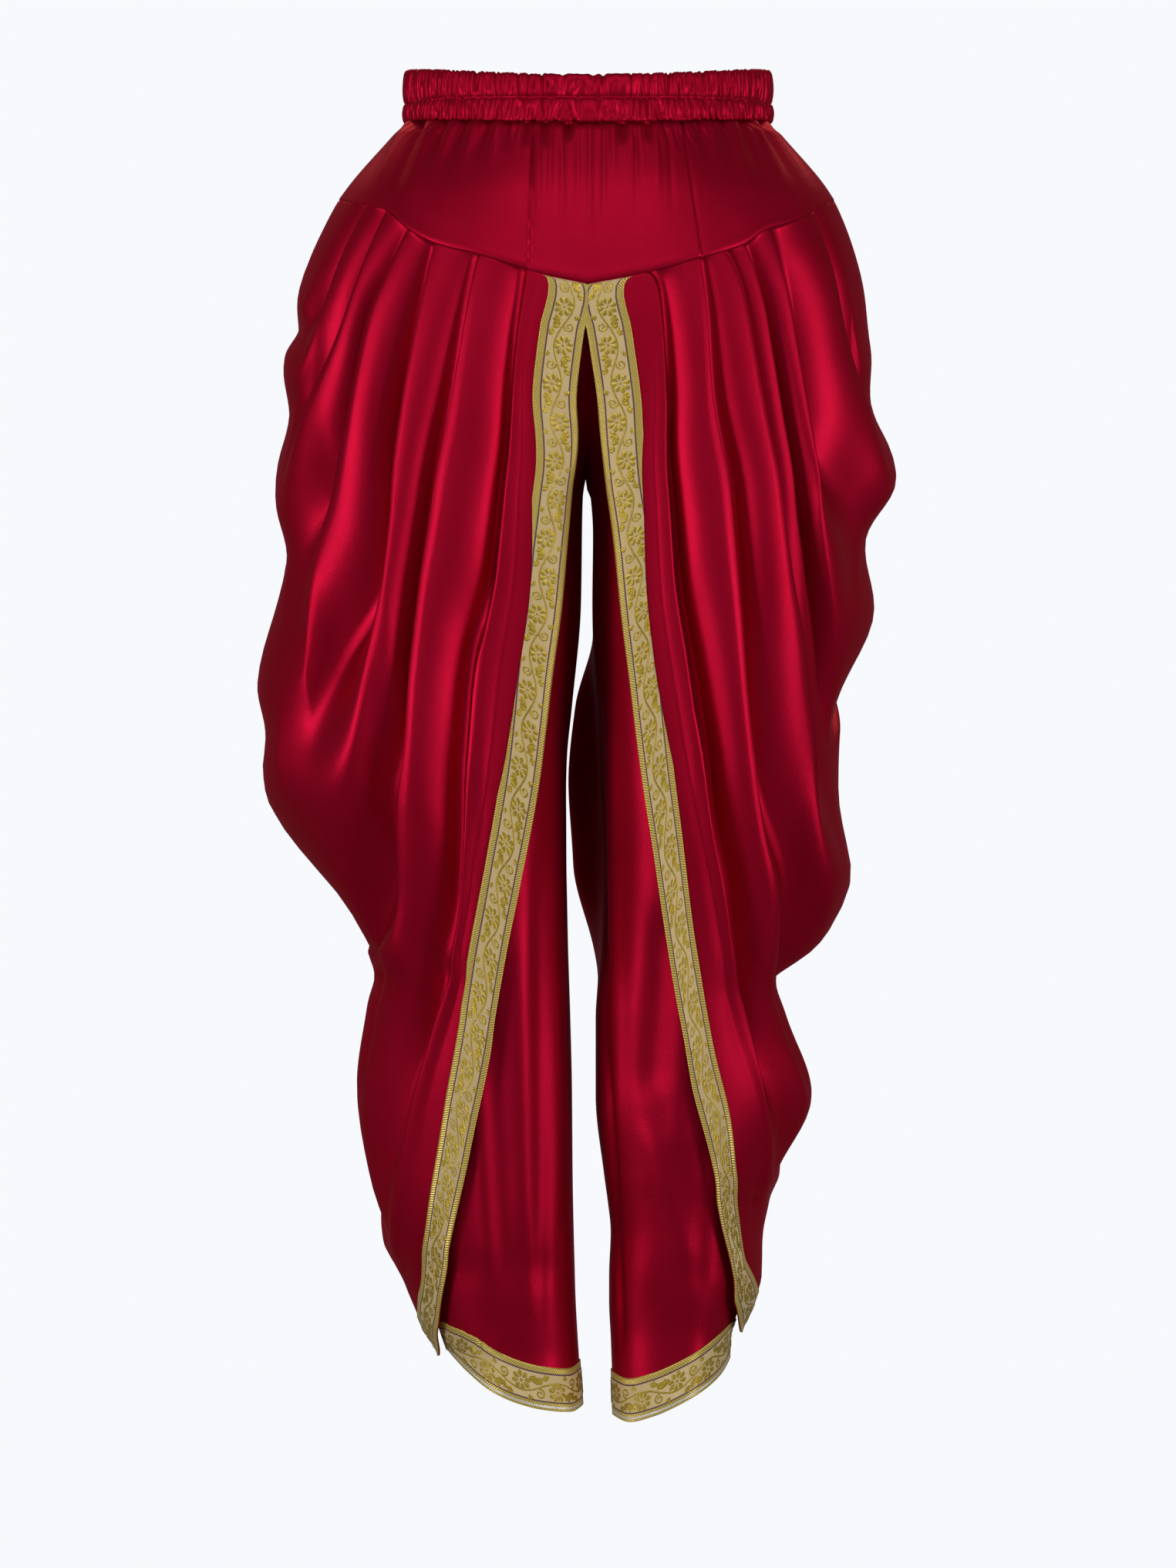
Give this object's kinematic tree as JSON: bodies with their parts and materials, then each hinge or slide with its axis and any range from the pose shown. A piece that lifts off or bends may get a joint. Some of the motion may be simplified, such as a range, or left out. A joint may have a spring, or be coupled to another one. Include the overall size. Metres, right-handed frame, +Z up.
{
  "type": "dhoti pants",
  "caption": "Satin dhoti trousers in their worn shape: elastic waist, shaped yoke, pleated cowl drapes over plain legs, brocade border on the edges and hems.",
  "frame": {"origin": "middle of the waist, halfway up the band at its sides, where the wearer holds the garment", "axes": "+Z up along the body, the front faces -Y, +X to the right of a viewer in front"},
  "size_m": [0.3793, 0.2283, 0.8022],
  "materials": {
    "satin": "crimson satin with a soft sheen",
    "brocade": "woven gold brocade ribbon"
  },
  "bodies": {
    "root": {"waistband": "satin", "yoke_front": "satin", "yoke_back": "satin", "drape_left": "satin", "leg_front_left": "satin", "leg_back_left": "satin", "border_left": "brocade", "hem_border_left": "brocade", "drape_right": "satin", "leg_front_right": "satin", "leg_back_right": "satin", "border_right": "brocade", "hem_border_right": "brocade"}
  },
  "joints": []
}
